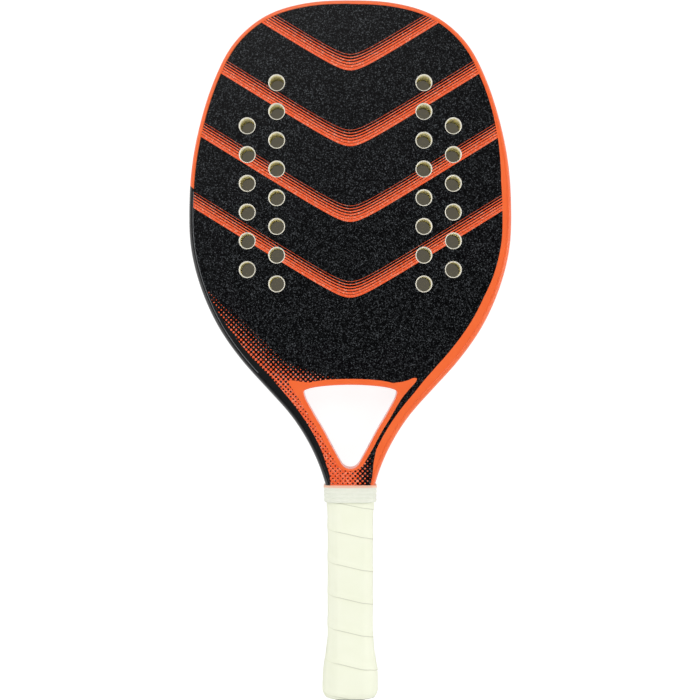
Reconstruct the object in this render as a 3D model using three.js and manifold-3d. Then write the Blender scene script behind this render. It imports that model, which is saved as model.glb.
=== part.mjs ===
// A beach tennis racket: a solid-faced bat with a drilled foam core, a bent tube frame
// with two arms and a bridge at the throat, and a wrapped handle.
// Millimetres. The racket lies on its back: +Y runs from the butt to the top of the head,
// +X is to the right seen from the front, and +Z points out of the front face.
import * as THREE from 'three';
import { mergeVertices } from 'three/addons/utils/BufferGeometryUtils.js';
import Module from 'manifold-3d';

const wasm = await Module();
wasm.setup();

// Whole racket, and the clearances between its pieces
const racketLength = 500;
const headWidth = 230.6;
const bladeThickness = 22;
const handleLength = 151.5;
const widestDrop = 150;
const bondGap = 0.15;
const seatGap = 0.3;
const overrun = 5;
const facetTolerance = 0.001;

// Frame tube: hoop, arms and two legs, bent from one length
const tubeWidth = 13.6;
const tubeWall = 1.6;
const rimWidth = 2.8;
const rimDepth = 5;
const rimFacets = 3;
const legGap = 0.6;
const legBend = 31.5;
const legPointCount = 4;
const tubeSteps = 86;
// The arms' bend keeps its own height, and the stretch above its end follows the racket's length
const bendHeight = 230;
const bendEndShare = 0.377;
// The tube's centreline from the leg out to the half head, and from the leg top to the widest place
const throatShares = [
  [0, 0], [0.001, 0.04], [0.005, 0.085], [0.031, 0.138], [0.081, 0.209], [0.165, 0.29], [0.292, 0.377],
  [0.461, 0.461], [0.645, 0.551], [0.805, 0.652], [0.923, 0.768], [0.989, 0.884],
];
// The rest of it, from the widest place up to the top of the head
const hoopShares = [
  [1, 0], [0.983, 0.217], [0.928, 0.428], [0.839, 0.635], [0.718, 0.807], [0.526, 0.93], [0.281, 0.987], [0, 1],
];

// Skins of glass and carbon laminate, let in flush with the rim
const skinThickness = 1.2;

// Throat opening: the arched bridge above it and the filler in the crotch below it
const crotchHeight = 13.3;
const openingHeight = 60;
const bridgeDepth = 10;
const archReach = 40;
const archDrop = 4;
const archEndDrop = 6;
const archEndPower = 8;
const archFacets = 16;
const crotchRadius = 7.3;
const crotchFacets = 24;
const flankLean = 0.51;
const flankRise = 14;
const fillerTail = 23;

// Holes drilled through the head, in four staggered columns
const holeDiameter = 10.6;
const holeRingWidth = 0.8;
const holePitch = 20.5;
const holeMargin = 41.8;
const columnSpacing = 21;
const innerColumnCount = 8;
const outerColumnCount = 6;
const staggerShare = 1.5;
const topHoleDrop = 59.7;
const holeFacets = 12;

// Handle: two foam pallets make a rounded octagon round the legs
const palletThickness = 2.05;
const palletRamp = 12;
const palletTip = 0.7;
const cornerRadius = 3;
const flatSplits = 2;

// Butt cap, a cup that flares to stop the hand
const capLength = 39;
const capWall = 0.8;
const capFloor = 2.2;
const capFlare = 2.8;
const shoulderHeight = 15.5;
const tuckHeight = 7.5;
const tuckDepth = 7;
const flareSteps = 6;
const tuckSteps = 5;

// Wraps: a cushioned base grip, and an overgrip wound up the handle from the butt
const baseGripBottom = 8;
const baseGripThickness = 1.3;
const overgripThickness = 0.5;
const overgripGap = 0.25;
const overgripBottom = 1.9;
const wrapStop = 8;
const capRamp = 5;
const overgripPitch = 23.3;
const turnGap = 0.6;
const overgripTip = 3;
const frontSeamHeight = 22.1;
const earlyTurns = 2;
// Rows of points across the overgrip, from its lower edge to its upper edge
const rowShares = [0, 0.12, 0.36, 0.66, 1];

// Finishing tape, and the collar band stretched over it
const tapeThickness = 0.25;
const tapeOnGrip = 1;
const tapeOnShaft = 5;
const tapeStep = 1.5;
const collarLength = 11.3;
const collarRise = 1.7;
const collarWall = 0.5;
const collarRibHeight = 0.4;
const collarRibCount = 4;

// Staples that hold the butt cap to the pallets
const stapleWire = 0.9;
const stapleCrown = 9;
const stapleBite = 1.6;
const stapleHeight = 12;

const halfTube = tubeWidth / 2;
const halfBlade = bladeThickness / 2;
const landHeight = halfBlade - skinThickness - bondGap;
const widestHeight = racketLength - widestDrop;
const legOffset = halfTube + legGap / 2;
const legBottom = capFloor + seatGap;
const legTop = handleLength - legBend;
const openingBottom = handleLength + crotchHeight;
const openingTop = openingBottom + openingHeight;
const skinBottom = handleLength + seatGap;
const seatHeight = halfBlade + bondGap;
const shaftHalf = seatHeight + palletThickness;
const rampBottom = handleLength - palletRamp;
const rimRelief = rimWidth + rimDepth - Math.hypot(rimWidth, rimDepth);
const fullFlare = capWall + capFlare;
const wrapTop = handleLength - wrapStop;
const wrapThickness = bondGap + baseGripThickness + overgripGap + overgripThickness;
const collarTop = handleLength + collarRise;
const collarBottom = collarTop - collarLength;

// Turns a closed mesh into a solid that can be joined and cut
function toSolid(geometry) {
  const bare = geometry.clone();
  bare.deleteAttribute('normal');
  bare.deleteAttribute('uv');
  const merged = mergeVertices(bare);
  return new wasm.Manifold(new wasm.Mesh({
    numProp: 3,
    vertProperties: Float32Array.from(merged.attributes.position.array),
    triVerts: Uint32Array.from(merged.index.array),
  }));
}

function toGeometry(solid) {
  const mesh = solid.asOriginal().simplify(facetTolerance).getMesh();
  const geometry = new THREE.BufferGeometry();
  geometry.setAttribute('position', new THREE.BufferAttribute(mesh.vertProperties, 3));
  geometry.setIndex(new THREE.BufferAttribute(mesh.triVerts, 1));
  return geometry;
}

// A flat outline made into a slab between two heights over the middle plane
function slab(points, low, high) {
  const shape = new THREE.Shape(points);
  const geometry = new THREE.ExtrudeGeometry(shape, { depth: high - low, bevelEnabled: false });
  return toSolid(geometry.translate(0, 0, low));
}

function block(minX, minY, minZ, maxX, maxY, maxZ) {
  const geometry = new THREE.BoxGeometry(maxX - minX, maxY - minY, maxZ - minZ);
  return toSolid(geometry.translate((minX + maxX) / 2, (minY + maxY) / 2, (minZ + maxZ) / 2));
}

// An upright round cutter
function drill(x, y, low, high, lowRadius, highRadius, facets) {
  const geometry = new THREE.CylinderGeometry(highRadius, lowRadius, high - low, facets);
  return toSolid(geometry.rotateX(Math.PI / 2).translate(x, y, (low + high) / 2));
}

// A height on the arms, from its share of the way up from the leg top to the widest place
function armHeight(up) {
  const bendEnd = legTop + bendEndShare * bendHeight;
  if (up <= bendEndShare) {
    return legTop + up * bendHeight;
  }
  return THREE.MathUtils.mapLinear(up, bendEndShare, 1, bendEnd, widestHeight);
}

// The tube's centreline, from the foot of the left leg round the head to the foot of the right leg
function tubePath() {
  const headReach = headWidth / 2 - halfTube;
  const hoopReach = racketLength - halfTube - widestHeight;
  const right = [];
  for (let i = 0; i < legPointCount; i += 1) {
    right.push([legOffset, legBottom + ((legTop - legBottom) * i) / legPointCount]);
  }
  for (const [across, up] of throatShares) {
    right.push([legOffset + across * (headReach - legOffset), armHeight(up)]);
  }
  for (const [across, up] of hoopShares) {
    right.push([across * headReach, widestHeight + up * hoopReach]);
  }
  const left = right.slice(0, -1).map(([x, y]) => [-x, y]);
  const points = [...left, ...right.reverse()].map(([x, y]) => new THREE.Vector3(x, y, 0));
  return new THREE.CatmullRomCurve3(points, false, 'centripetal');
}

const centreline = tubePath();

// Stations along the centreline, each with the direction that leads out of the head
const stations = centreline.getSpacedPoints(tubeSteps).map((place, i) => {
  const tangent = centreline.getTangentAt(i / tubeSteps);
  return { place, outward: new THREE.Vector3(-tangent.y, tangent.x, 0) };
});

// The part above a height of the line that runs beside the centreline, some distance outward
function beside(distance, lowest) {
  const line = stations.map(({ place, outward }) => {
    const point = place.clone().addScaledVector(outward, distance);
    return new THREE.Vector2(point.x, point.y);
  });
  const above = [];
  line.forEach((point, i) => {
    const next = line[i + 1];
    if (point.y >= lowest) {
      above.push(point);
    }
    if (next && (point.y - lowest) * (next.y - lowest) < 0) {
      above.push(point.clone().lerp(next, (lowest - point.y) / (next.y - point.y)));
    }
  });
  return above;
}

// Half the frame's width over its legs and arms at a height
function frameReach(height) {
  const line = beside(halfTube, Math.max(height, legBottom));
  return line[line.length - 1].x;
}

// The tube's section, with a raised bead at the rim and a land on each face for the skins
function tubeSection() {
  const beadFoot = halfTube - rimWidth;
  const outside = [[-halfTube, landHeight], [beadFoot, landHeight]];
  for (let i = 0; i <= rimFacets; i += 1) {
    const angle = (i / rimFacets) * (Math.PI / 2);
    outside.push([beadFoot + rimWidth * Math.sin(angle), halfBlade - rimDepth * (1 - Math.cos(angle))]);
  }
  const bore = [
    [tubeWall - halfTube, landHeight - tubeWall],
    [beadFoot, landHeight - tubeWall],
    [halfTube - tubeWall, halfBlade - rimDepth],
  ];
  const closed = (half) => {
    const mirrored = half.map(([out, z]) => [out, -z]).reverse();
    return [...half, ...mirrored].reverse().map(([out, z]) => new THREE.Vector2(-z, out));
  };
  const section = new THREE.Shape(closed(outside));
  section.holes.push(new THREE.Path(closed(bore)));
  return section;
}

function frameTube() {
  return new THREE.ExtrudeGeometry(tubeSection(), { steps: tubeSteps, extrudePath: centreline });
}

// The room inside the bent tube above a height, some clearance away from its inner wall
function roomInside(clearance, lowest, low, high) {
  return slab(beside(-halfTube - clearance, lowest).reverse(), low, high);
}

// A slab across the head whose lower and upper edges are arched like the bridge, and turn
// down into the arms at its ends
function archedBand(bottom, top, low, high) {
  const far = headWidth / 2 + overrun;
  const edge = (height) => {
    const points = [];
    for (let i = 0; i <= archFacets; i += 1) {
      const share = (2 * i) / archFacets - 1;
      const drop = archDrop * share ** 2 + archEndDrop * share ** archEndPower;
      points.push(new THREE.Vector2(share * archReach, height - drop));
    }
    const end = height - archDrop - archEndDrop;
    return [new THREE.Vector2(-far, end), ...points, new THREE.Vector2(far, end)];
  };
  return slab([...edge(bottom), ...edge(top).reverse()], low, high);
}

// The crotch's block: a round hollow that widens between slanted flanks, up to the arms' own walls
function crotchBlock(bottom, low, high) {
  const centre = openingBottom + crotchRadius;
  const meetReach = crotchRadius * Math.cos(flankLean);
  const meetHeight = centre - crotchRadius * Math.sin(flankLean);
  const endReach = meetReach + flankRise * Math.tan(flankLean);
  const far = headWidth / 2;
  const right = [[far, bottom], [far, meetHeight + flankRise], [endReach, meetHeight + flankRise], [meetReach, meetHeight]];
  const left = right.map(([x, y]) => [-x, y]).reverse();
  const round = drill(0, centre, low - overrun, high + overrun, crotchRadius, crotchRadius, crotchFacets);
  return slab([...right, ...left].map(([x, y]) => new THREE.Vector2(x, y)), low, high).subtract(round);
}

function throatBridge() {
  const band = archedBand(openingTop, openingTop + bridgeDepth, -landHeight, landHeight);
  return toGeometry(roomInside(bondGap, openingBottom, -halfBlade, halfBlade).intersect(band));
}

function throatFiller() {
  const bottom = openingBottom - fillerTail;
  const body = crotchBlock(bottom - overrun, -landHeight, landHeight);
  return toGeometry(roomInside(bondGap, bottom, -halfBlade, halfBlade).intersect(body));
}

// The holes' centres on both sides of the middle
function holeCentres() {
  const top = racketLength - topHoleDrop;
  const outerOffset = headWidth / 2 - holeMargin;
  const centres = [];
  for (const side of [-1, 1]) {
    for (let i = 0; i < innerColumnCount; i += 1) {
      centres.push([side * (outerOffset - columnSpacing), top - i * holePitch]);
    }
    for (let i = 0; i < outerColumnCount; i += 1) {
      centres.push([side * outerOffset, top - (i + staggerShare) * holePitch]);
    }
  }
  return centres;
}

function foamCore() {
  const coreBottom = openingTop + bridgeDepth + bondGap;
  let core = roomInside(bondGap, openingBottom, -landHeight, landHeight);
  core = core.subtract(archedBand(openingBottom - headWidth, coreBottom, -bladeThickness, bladeThickness));
  for (const [x, y] of holeCentres()) {
    const radius = holeDiameter / 2;
    core = core.subtract(drill(x, y, -bladeThickness, bladeThickness, radius, radius, holeFacets));
  }
  return toGeometry(core);
}

// A skin, flush with the rim, with countersunk holes and the throat opening cut out
function faceSkin() {
  const inside = halfBlade - skinThickness;
  const opening = roomInside(0, skinBottom, -bladeThickness, bladeThickness)
    .intersect(archedBand(skinBottom - headWidth, openingTop, -bladeThickness, bladeThickness))
    .subtract(crotchBlock(skinBottom - overrun, -headWidth, headWidth));
  let skin = slab(beside(halfTube - rimWidth - bondGap, skinBottom).reverse(), inside, halfBlade);
  skin = skin.subtract(opening);
  const low = inside - skinThickness;
  const high = halfBlade + skinThickness;
  const lowRadius = holeDiameter / 2 - holeRingWidth;
  const highRadius = holeDiameter / 2 + 2 * holeRingWidth;
  for (const [x, y] of holeCentres()) {
    skin = skin.subtract(drill(x, y, low, high, lowRadius, highRadius, holeFacets));
  }
  return toGeometry(skin);
}

// How far the pallets have ramped down towards the throat at a height, from 0 to 1
function rampedDown(height) {
  return THREE.MathUtils.clamp((height - rampBottom) / palletRamp, 0, 1);
}

// Half the shaft's thickness over the pallets, or over the skins above them
function palletReach(height) {
  const onPallet = THREE.MathUtils.lerp(shaftHalf, seatHeight + palletTip, rampedDown(height));
  return height > handleLength ? halfBlade : onPallet;
}

// How far the butt cap stands out from the shaft at a height
function capReach(height) {
  if (height < tuckHeight) {
    const rise = 1 - height / tuckHeight;
    return fullFlare - tuckDepth * (1 - Math.sqrt(1 - rise * rise));
  }
  const down = THREE.MathUtils.smoothstep(capLength - height, 0, capLength - shoulderHeight);
  return capWall + capFlare * down;
}

// Heights at which the handle's outline is measured, from the butt up
function handleHeights() {
  const heights = [];
  for (let i = 0; i < tuckSteps; i += 1) {
    heights.push(tuckHeight * (1 - Math.sin(((tuckSteps - i) / tuckSteps) * (Math.PI / 2))));
  }
  heights.push(tuckHeight);
  for (let i = 0; i <= flareSteps; i += 1) {
    heights.push(THREE.MathUtils.lerp(shoulderHeight, capLength, i / flareSteps));
  }
  heights.push(capLength + capRamp, legTop, (legTop + rampBottom) / 2, rampBottom);
  heights.push(wrapTop, handleLength, collarTop);
  return heights.sort((a, b) => a - b);
}

// The outline that the wraps lie on: the cap at the butt, then the pallets and the tube
const handleOutline = handleHeights().map((height) => ({
  height,
  wide: frameReach(height) + bondGap,
  thick: palletReach(height),
  corner: palletReach(height) - halfBlade + rimRelief - bondGap,
  growth: height <= capLength ? capReach(height) : 0,
}));

function outlineAt(height) {
  const next = Math.max(1, handleOutline.findIndex((entry) => entry.height >= height));
  const low = handleOutline[next - 1];
  const high = handleOutline[next];
  const share = (height - low.height) / (high.height - low.height);
  const between = (key) => THREE.MathUtils.lerp(low[key], high[key], share);
  return {
    wide: between('wide'),
    thick: between('thick'),
    corner: between('corner'),
    growth: between('growth'),
  };
}

// A ring of points round the handle at a height: a rounded octagon that stands out by a growth
function handleRing(height, growth, splits) {
  const outline = outlineAt(height);
  const slant = Math.tan(Math.PI / 8);
  const reachX = outline.wide + growth;
  const reachZ = outline.thick + growth;
  const corner = outline.corner + growth * (1 - slant);
  const trim = (cornerRadius + growth) * slant;
  const diagonal = trim / Math.SQRT2;
  const quarter = [
    [reachX, reachZ - corner - trim],
    [reachX - diagonal, reachZ - corner + diagonal],
    [reachX - corner + diagonal, reachZ - diagonal],
    [reachX - corner - trim, reachZ],
  ];
  const mirror = (points, signX, signZ) => points.map(([x, z]) => [signX * x, signZ * z]);
  const around = [
    ...quarter,
    ...mirror(quarter, -1, 1).reverse(),
    ...mirror(quarter, -1, -1),
    ...mirror(quarter, 1, -1).reverse(),
  ];
  const ring = [];
  around.forEach(([x, z], i) => {
    const [nextX, nextZ] = around[(i + 1) % around.length];
    const parts = i % 2 === 1 ? splits : 1;
    for (let part = 0; part < parts; part += 1) {
      const share = part / parts;
      ring.push(new THREE.Vector3(
        THREE.MathUtils.lerp(x, nextX, share), height, THREE.MathUtils.lerp(z, nextZ, share),
      ));
    }
  });
  return ring;
}

// Joins rings of equally many points into one closed body; open rings are closed by end faces
function loft(rings, looped) {
  const count = rings[0].length;
  const positions = rings.flat().flatMap((point) => point.toArray());
  const index = [];
  const lastRing = looped ? rings.length : rings.length - 1;
  for (let i = 0; i < lastRing; i += 1) {
    const here = i * count;
    const there = ((i + 1) % rings.length) * count;
    for (let j = 0; j < count; j += 1) {
      const k = (j + 1) % count;
      index.push(here + j, here + k, there + j, here + k, there + k, there + j);
    }
  }
  if (!looped) {
    const end = (rings.length - 1) * count;
    for (let j = 1; j < count - 1; j += 1) {
      index.push(0, j + 1, j, end, end + j, end + j + 1);
    }
  }
  const geometry = new THREE.BufferGeometry();
  geometry.setAttribute('position', new THREE.Float32BufferAttribute(positions, 3));
  geometry.setIndex(index);
  return geometry;
}

// A sleeve round the handle from its inside and outside, each a list of heights and growths
function sleeve(inside, outside) {
  const stops = [...inside, ...outside.reverse()];
  return loft(stops.map(([height, growth]) => handleRing(height, growth, 1)), true);
}

function heightsBetween(bottom, top) {
  const heights = handleOutline.map((entry) => entry.height);
  const between = heights.filter((height) => height > bottom && height < top);
  return [bottom, ...between, top];
}

// Growth of the wraps' outline at a height, with a layer's own offset on top
const layered = (bottom, top, offset) => (
  heightsBetween(bottom, top).map((height) => [height, outlineAt(height).growth + offset])
);

function pallet() {
  const far = headWidth / 2;
  const ribReach = legOffset + halfTube - rimWidth - bondGap;
  const heights = heightsBetween(legBottom, handleLength).reverse();
  const body = toSolid(loft(heights.map((height) => handleRing(height, 0, 1)), false));
  const top = shaftHalf + overrun;
  const above = block(-far, 0, seatHeight, far, racketLength, top);
  const rib = block(-ribReach, 0, landHeight + bondGap, ribReach, racketLength, top);
  return body.intersect(above.add(rib));
}

// A staple, its crown sunk into the cap's outer face; with a clearance it is its own cutter,
// and a cutter's crown reaches up out of the cap
function staple(clearance, crownTop) {
  const face = shaftHalf + capReach(stapleHeight) - bondGap;
  const half = stapleWire / 2 + clearance;
  const reach = stapleCrown / 2 + clearance;
  const front = stapleHeight - half;
  const back = stapleHeight + half;
  const crown = block(-reach, front, face - stapleWire - clearance, reach, back, crownTop ?? face);
  const leg = block(reach - 2 * half, front, shaftHalf - stapleBite - clearance, reach, back, face);
  return crown.add(leg).add(leg.mirror([1, 0, 0]));
}

// The room that a staple is driven into
function stapleRoom() {
  return staple(bondGap, shaftHalf + fullFlare + overrun);
}

function buttCap() {
  const outside = heightsBetween(0, capLength).map((height) => handleRing(height, capReach(height), 1));
  const body = toSolid(loft(outside.reverse(), false));
  const pocket = toSolid(loft([
    handleRing(capLength + overrun, bondGap, 1),
    handleRing(capFloor, bondGap, 1),
  ], false));
  const front = stapleRoom();
  return toGeometry(body.subtract(pocket).subtract(front).subtract(front.mirror([0, 0, 1])));
}

function baseGrip() {
  return sleeve(
    layered(baseGripBottom, wrapTop, bondGap),
    layered(baseGripBottom, wrapTop, bondGap + baseGripThickness),
  );
}

// The distance round a ring, and the shares of it that lead to each of its points
function measureRound(ring) {
  const reached = [0];
  ring.forEach((point, i) => {
    reached.push(reached[i] + point.distanceTo(ring[(i + 1) % ring.length]));
  });
  const girth = reached.pop();
  return { girth, shares: reached.map((distance) => distance / girth) };
}

// The overgrip: one ribbon wound edge to edge, trimmed level at the butt and at the top
function overgrip() {
  const plainRing = handleRing(legTop, 0, flatSplits);
  const perTurn = plainRing.length;
  const { shares, girth } = measureRound(plainRing);
  const frontShare = 1 / 4 - plainRing[0].z / girth;
  const firstTurn = (frontSeamHeight - overgripBottom) / overgripPitch - frontShare - earlyTurns;
  const inset = bondGap + baseGripThickness + overgripGap;
  const rings = [];
  const edges = [];
  for (let step = 0; ; step += 1) {
    const climbed = (firstTurn + Math.floor(step / perTurn) + shares[step % perTurn]) * overgripPitch;
    const lower = Math.max(overgripBottom, overgripBottom + climbed);
    const upper = Math.min(wrapTop, overgripBottom + climbed + overgripPitch - turnGap);
    if (upper - lower < overgripTip && rings.length > 0) {
      break;
    }
    if (upper - lower >= overgripTip) {
      const point = (share, growth) => {
        const height = THREE.MathUtils.lerp(lower, upper, share);
        return handleRing(height, outlineAt(height).growth + growth, flatSplits)[step % perTurn];
      };
      const inner = rowShares.map((share) => point(share, inset)).reverse();
      const outer = rowShares.map((share) => point(share, inset + overgripThickness));
      rings.push([...outer, ...inner]);
      edges.push({ lower: point(0, inset), upper: point(1, inset) });
    }
  }
  console.log('overgrip: least gap between turns', leastGap(edges, perTurn).toFixed(2), 'mm');
  return loft(rings, false);
}

// The least distance from each turn's upper edge to the next turn's lower edge
function leastGap(edges, perTurn) {
  let least = Infinity;
  const closest = new THREE.Vector3();
  for (let i = 0; i + perTurn < edges.length; i += 1) {
    for (let j = i + 1; j < Math.min(edges.length - 1, i + 2 * perTurn); j += 1) {
      if (edges[j].lower.y > overgripBottom && edges[i].upper.y < wrapTop) {
        const edge = new THREE.Line3(edges[j].lower, edges[j + 1].lower);
        edge.closestPointToPoint(edges[i].upper, true, closest);
        least = Math.min(least, closest.distanceTo(edges[i].upper));
      }
    }
  }
  return least;
}

// The tape covers the overgrip's top edge and steps down onto the pallets and the tube
function finishingTape() {
  const onGrip = wrapThickness + bondGap;
  const inside = [
    [wrapTop - tapeOnGrip, onGrip],
    [wrapTop + bondGap, onGrip],
    [wrapTop + tapeStep, bondGap],
    [wrapTop + tapeOnShaft, bondGap],
  ];
  return sleeve(inside, inside.map(([height, growth]) => [height, growth + tapeThickness]));
}

// The collar band: a stretched sleeve with ribs round its outside
function collarBand() {
  const clear = tapeThickness + bondGap;
  const onGrip = wrapThickness + bondGap + clear;
  const inside = [
    [collarBottom, onGrip],
    [wrapTop + bondGap, onGrip],
    [wrapTop + tapeStep, bondGap + clear + bondGap],
    [handleLength, bondGap + clear],
    [collarTop, bondGap + clear],
  ];
  const insideAt = (height) => {
    const next = Math.max(1, inside.findIndex((entry) => entry[0] >= height));
    const share = (height - inside[next - 1][0]) / (inside[next][0] - inside[next - 1][0]);
    return THREE.MathUtils.lerp(inside[next - 1][1], inside[next][1], share);
  };
  const outside = [];
  const ribPitch = (collarTop - collarBottom) / collarRibCount;
  for (let i = 0; i <= 2 * collarRibCount; i += 1) {
    const height = collarBottom + (i * ribPitch) / 2;
    const rib = i % 2 === 1 ? collarRibHeight : 0;
    outside.push([height, insideAt(Math.min(height, collarTop)) + collarWall + rib]);
  }
  return sleeve(inside, outside);
}

const racket = new THREE.Group();
racket.position.set(0, -racketLength / 2, shaftHalf + fullFlare + wrapThickness);

const carbon = { color: 0x1b1c1f, roughness: 0.35, metalness: 0 };
const foam = { color: 0xe6e0c8, roughness: 0.85, metalness: 0 };
const moulded = { color: 0x3a3a38, roughness: 0.6, metalness: 0 };
const wrap = { color: 0xf4f6e4, roughness: 0.75, metalness: 0 };
const band = { color: 0xdfe3d6, roughness: 0.4, metalness: 0 };
const wire = { color: 0xb8bbbe, roughness: 0.3, metalness: 1 };

const addPiece = (name, geometry, finish) => {
  const mesh = new THREE.Mesh(geometry, new THREE.MeshStandardMaterial(finish));
  mesh.name = name;
  racket.add(mesh);
};

const palletGeometry = () => toGeometry(pallet().subtract(stapleRoom()));

addPiece('frame_tube', frameTube(), carbon);
addPiece('throat_bridge', throatBridge(), carbon);
addPiece('throat_filler', throatFiller(), moulded);
addPiece('foam_core', foamCore(), foam);
addPiece('front_skin', faceSkin(), carbon);
addPiece('back_skin', faceSkin().rotateY(Math.PI), carbon);
addPiece('pallet_front', palletGeometry(), foam);
addPiece('pallet_back', palletGeometry().rotateY(Math.PI), foam);
addPiece('butt_cap', buttCap(), moulded);
addPiece('staple_front', toGeometry(staple(0)), wire);
addPiece('staple_back', toGeometry(staple(0)).rotateY(Math.PI), wire);
addPiece('base_grip', baseGrip(), moulded);
addPiece('overgrip', overgrip(), wrap);
addPiece('finishing_tape', finishingTape(), wrap);
addPiece('collar_band', collarBand(), band);

export default racket;
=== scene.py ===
import math

import bmesh
import bpy
import numpy as np
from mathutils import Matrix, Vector, noise
from mathutils.geometry import delaunay_2d_cdt


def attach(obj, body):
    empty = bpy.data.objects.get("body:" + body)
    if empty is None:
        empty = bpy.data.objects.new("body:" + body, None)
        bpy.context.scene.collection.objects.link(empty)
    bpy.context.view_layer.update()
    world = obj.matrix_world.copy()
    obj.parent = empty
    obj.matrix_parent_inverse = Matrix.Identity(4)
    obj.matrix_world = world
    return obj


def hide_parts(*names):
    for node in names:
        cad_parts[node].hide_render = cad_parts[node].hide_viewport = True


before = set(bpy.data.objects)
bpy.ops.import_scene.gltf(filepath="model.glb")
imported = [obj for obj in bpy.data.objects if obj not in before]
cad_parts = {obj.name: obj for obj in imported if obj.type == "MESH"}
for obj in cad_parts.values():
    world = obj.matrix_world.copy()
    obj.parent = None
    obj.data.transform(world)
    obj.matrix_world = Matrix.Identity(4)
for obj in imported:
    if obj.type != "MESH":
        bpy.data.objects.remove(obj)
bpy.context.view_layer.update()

# Studio. The racket lies on its back on a pale floor and is looked at from straight above,
# from about a metre: near enough to see the walls of the drilled holes, as on the photograph.
mm = 0.001
seen_width = 500 * mm
seen_height = 28 * mm
camera_distance = 1.0
aim_x = -0.2 * mm
aim_y = -0.3 * mm
sensor_width = 36

lens = bpy.data.cameras.new("lens")
lens.sensor_width = sensor_width
lens.lens = sensor_width * camera_distance / seen_width
lens.clip_start = 0.05
camera = bpy.data.objects.new("camera", lens)
camera.location = (aim_x, aim_y, seen_height + camera_distance)
bpy.context.scene.collection.objects.link(camera)
bpy.context.scene.camera = camera
bpy.context.scene.view_settings.view_transform = "Standard"


def linear(code):
    """The linear colour of an sRGB hex value."""
    parts = [int(code[i:i + 2], 16) / 255 for i in (1, 3, 5)]
    return (*[c / 12.92 if c <= 0.04045 else ((c + 0.055) / 1.055) ** 2.4 for c in parts], 1)


def add(tree, kind, sockets=None, output=None, **settings):
    """Adds a node; each socket gets a value or the output that it is linked to."""
    node = tree.nodes.new("ShaderNode" + kind)
    for name, value in settings.items():
        setattr(node, name, value)
    for name, value in (sockets or {}).items():
        if isinstance(value, bpy.types.NodeSocket):
            tree.links.new(value, node.inputs[name])
        else:
            node.inputs[name].default_value = value
    return node.outputs[output] if output else next(o for o in node.outputs if o.enabled)


# Four soft lamps: the window beyond the head brightens the top of the face and the rim there,
# the side lamps round off the handle, and the one in front reaches down the walls of the holes.
for name, place, size, power in (
    ("window", (-0.3, 0.85, 1.25), 0.9, 9.5),
    ("left_softbox", (-1.35, -0.25, 0.65), 0.8, 5.4),
    ("right_softbox", (1.35, -0.1, 0.7), 0.8, 8.6),
    ("front_softbox", (0.1, -0.95, 1.15), 0.8, 4.6),
):
    lamp = bpy.data.lights.new(name, "AREA")
    lamp.size = size
    lamp.energy = power
    holder = bpy.data.objects.new(name, lamp)
    holder.location = place
    holder.rotation_euler = (-Vector(place)).to_track_quat("-Z", "Y").to_euler()
    bpy.context.scene.collection.objects.link(holder)

# The room has white walls and a dim ceiling, which keeps the black print and lacquer deep
wall_top = 0.26
ceiling_start = 0.82
ceiling_light = 0.05
room = bpy.data.worlds.new("room")
bpy.context.scene.world = room
room.use_nodes = True
tree = room.node_tree
skyward = add(tree, "SeparateXYZ", {0: add(tree, "TexCoord", output="Generated")}, "Z")
walls = add(
    tree, "MapRange", {0: skyward, 1: wall_top, 2: ceiling_start, 3: 1.0, 4: ceiling_light},
    interpolation_type="SMOOTHSTEP",
)
background = tree.nodes["Background"]
background.inputs["Color"].default_value = (1, 1, 1, 1)
tree.links.new(walls, background.inputs["Strength"])


def stage_sheet(name, corners, code, glow_code, glow):
    """A flat sheet of the set, of one colour; what the camera and mirrors see of it also glows."""
    mesh = bpy.data.meshes.new(name)
    mesh.from_pydata(corners, [], [tuple(range(len(corners)))])
    sheet = bpy.data.objects.new(name, mesh)
    bpy.context.scene.collection.objects.link(sheet)
    paper = bpy.data.materials.new(name)
    paper.use_nodes = True
    tree = paper.node_tree
    shader = tree.nodes["Principled BSDF"]
    shader.inputs["Base Color"].default_value = linear(code)
    shader.inputs["Roughness"].default_value = 0.9
    shader.inputs["Specular IOR Level"].default_value = 0.0
    shader.inputs["Emission Color"].default_value = linear(glow_code)
    seen = add(tree, "LightPath", output="Is Camera Ray")
    mirrored_ray = add(tree, "LightPath", output="Is Glossy Ray")
    refracted_ray = add(tree, "LightPath", output="Is Transmission Ray")
    either = add(tree, "Math", {0: seen, 1: mirrored_ray}, operation="ADD")
    any_ray = add(tree, "Math", {0: either, 1: refracted_ray}, operation="ADD")
    strength = add(tree, "Math", {0: any_ray, 1: glow}, operation="MULTIPLY")
    tree.links.new(strength, shader.inputs["Emission Strength"])
    mesh.materials.append(paper)


# The floor leans by the little that lets the racket rest on its butt and on the head's edge.
# A dark sheet of painted shade lies on it under the head and glows olive-grey to the camera and mirrors,
# so that the holes show shade instead of white paper.
butt_rest = Vector((0, -236, -0.3)) * mm
head_rest = Vector((0, 247, 7.9)) * mm
floor_half = 1.6
along = (head_rest - butt_rest).normalized()
floor_corners = [
    butt_rest + along * (y * floor_half) + Vector((x * floor_half, 0, 0))
    for x, y in ((-1, -1), (1, -1), (1, 1), (-1, 1))
]
stage_sheet("floor", floor_corners, "#959594", "#FFFFFF", 0.88)
card_half = 88 * mm
card_place = 357 * mm
card_lift = Vector((0, 0, 0.3)) * mm
card_sides = 48
card_centre = butt_rest + along * card_place + card_lift
card_corners = []
for i in range(card_sides):
    turn = 2 * math.pi * i / card_sides
    across = math.copysign(abs(math.cos(turn)) ** (1 / 3), math.cos(turn))
    upward = math.copysign(abs(math.sin(turn)) ** (1 / 3), math.sin(turn))
    card_corners.append(card_centre + Vector((card_half * across, 0, 0)) + along * card_half * upward)
# Painted shade: a dark sheet under the head that glows olive-grey for camera and mirror rays
stage_sheet("shade_card", card_corners, "#4A473A", "#5B574C", 0.92)

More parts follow.
